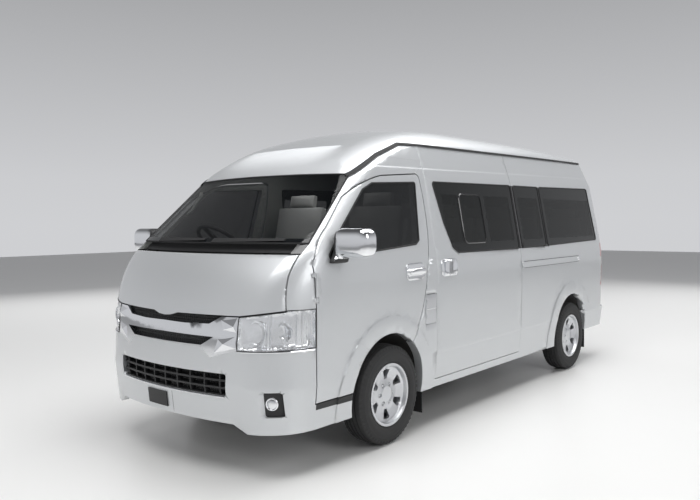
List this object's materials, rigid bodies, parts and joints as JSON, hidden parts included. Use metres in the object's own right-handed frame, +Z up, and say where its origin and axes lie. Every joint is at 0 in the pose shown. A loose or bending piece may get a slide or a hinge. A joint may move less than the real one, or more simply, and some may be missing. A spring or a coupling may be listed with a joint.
{
  "type": "passenger van",
  "caption": "High-roof passenger van with a long body, a sliding side door, hinged front doors, a lifting tailgate and bonnet, steered front wheels and rows of seats.",
  "frame": {"origin": "on the ground under the middle of the van's box", "axes": "+Z up, +Y towards the tail, nose towards -Y, +X towards the van's left side"},
  "size_m": [2.372, 5.3773, 2.2852],
  "materials": {
    "paint": "silver metallic gloss",
    "trim_paint": "silver metallic gloss",
    "black_plastic": "satin black",
    "chrome": "polished",
    "glass": "tinted",
    "lamp": "clear lens",
    "red_lamp": "red lens",
    "interior": "dark grain",
    "fabric": "woven grey",
    "steel": "black chassis paint",
    "alloy": "silver lacquer",
    "tyre": "rubber"
  },
  "bodies": {
    "body": {"bulkhead": "interior", "chassis": "steel", "cowl": "black_plastic", "dashboard": "interior", "door_steps": "black_plastic", "engine": "steel", "exhaust": "steel", "floor_pan": "steel", "fog_lamps": "lamp", "front_arms": "steel", "front_bumper": "paint", "front_seats": "fabric", "fuel_tank": "steel", "grille": "chrome", "gutters": "black_plastic", "headlamps": "lamp", "leaf_springs": "steel", "lower_grille": "black_plastic", "mud_flaps": "black_plastic", "propeller_shaft": "steel", "quarter_left": "paint", "radiator": "steel", "rear_axle": "steel", "rear_bumper": "paint", "rear_seats": "fabric", "roof": "paint", "side_frame_left": "paint", "side_frame_right": "paint", "side_glass_left": "glass", "side_glass_right": "glass", "side_wall_right": "paint", "slide_door": "paint", "slide_trim": "trim_paint", "spare_tyre": "tyre", "tail_lamps": "red_lamp", "windscreen": "glass", "wipers": "black_plastic"},
    "door_left": {"front_door_left": "paint", "door_glass_left": "glass", "mirror_left": "chrome", "handle_left": "chrome"},
    "door_right": {"front_door_right": "paint", "door_glass_right": "glass", "mirror_right": "chrome", "handle_right": "chrome"},
    "bonnet": {"bonnet": "paint"},
    "tailgate": {"tailgate": "paint", "tailgate_glass": "glass"},
    "fuel_lid": {"fuel_lid": "chrome"},
    "steering_wheel": {"steering_wheel": "interior"},
    "knuckle_left": {"knuckle_left": "steel"},
    "knuckle_right": {"knuckle_right": "steel"},
    "wheel_front_left": {"wheel_front_left": "alloy", "tyre_front_left": "tyre"},
    "wheel_front_right": {"wheel_front_right": "alloy", "tyre_front_right": "tyre"},
    "wheel_rear_left": {"wheel_rear_left": "alloy", "tyre_rear_left": "tyre"},
    "wheel_rear_right": {"wheel_rear_right": "alloy", "tyre_rear_right": "tyre"}
  },
  "joints": [
    {"name": "door_left_hinge", "type": "hinge", "parent": "body", "child": "door_left", "pos_m": [0.9335, -2.259, 0.9], "axis": [0, 0, -1], "range_deg": [0, 70]},
    {"name": "door_right_hinge", "type": "hinge", "parent": "body", "child": "door_right", "pos_m": [-0.9335, -2.259, 0.9], "axis": [0, 0, 1], "range_deg": [0, 70]},
    {"name": "bonnet_hinge", "type": "hinge", "parent": "body", "child": "bonnet", "pos_m": [0, -2.338, 1.309], "axis": [-1, 0, 0], "range_deg": [0, 50]},
    {"name": "tailgate_hinge", "type": "hinge", "parent": "body", "child": "tailgate", "pos_m": [0, 2.497, 2.074], "axis": [1, 0, 0], "range_deg": [0, 85]},
    {"name": "fuel_lid_hinge", "type": "hinge", "parent": "body", "child": "fuel_lid", "pos_m": [0.9335, -1.0945, 0.878], "axis": [0, 0, -1], "range_deg": [0, 90]},
    {"name": "steering", "type": "hinge", "parent": "body", "child": "steering_wheel", "pos_m": [-0.38, -1.88, 1.37], "axis": [0, 0.6428, 0.766], "range_deg": [-578, 578]},
    {"name": "kingpin_left", "type": "hinge", "parent": "body", "child": "knuckle_left", "pos_m": [0.77, -1.51, 0.34], "axis": [0, 0, 1], "range_deg": [-34, 34]},
    {"name": "kingpin_right", "type": "hinge", "parent": "body", "child": "knuckle_right", "pos_m": [-0.77, -1.51, 0.34], "axis": [0, 0, 1], "range_deg": [-34, 34]},
    {"name": "spin_front_left", "type": "hinge", "parent": "knuckle_left", "child": "wheel_front_left", "pos_m": [0.827, -1.51, 0.34], "axis": [1, 0, 0], "continuous": true},
    {"name": "spin_rear_left", "type": "hinge", "parent": "body", "child": "wheel_rear_left", "pos_m": [0.827, 1.6, 0.34], "axis": [1, 0, 0], "continuous": true},
    {"name": "spin_front_right", "type": "hinge", "parent": "knuckle_right", "child": "wheel_front_right", "pos_m": [-0.827, -1.51, 0.34], "axis": [1, 0, 0], "continuous": true},
    {"name": "spin_rear_right", "type": "hinge", "parent": "body", "child": "wheel_rear_right", "pos_m": [-0.827, 1.6, 0.34], "axis": [1, 0, 0], "continuous": true}
  ],
  "couplings": [
    {"joint": "kingpin_left", "follows": "steering", "ratio": 0.058824},
    {"joint": "kingpin_right", "follows": "steering", "ratio": 0.058824}
  ]
}
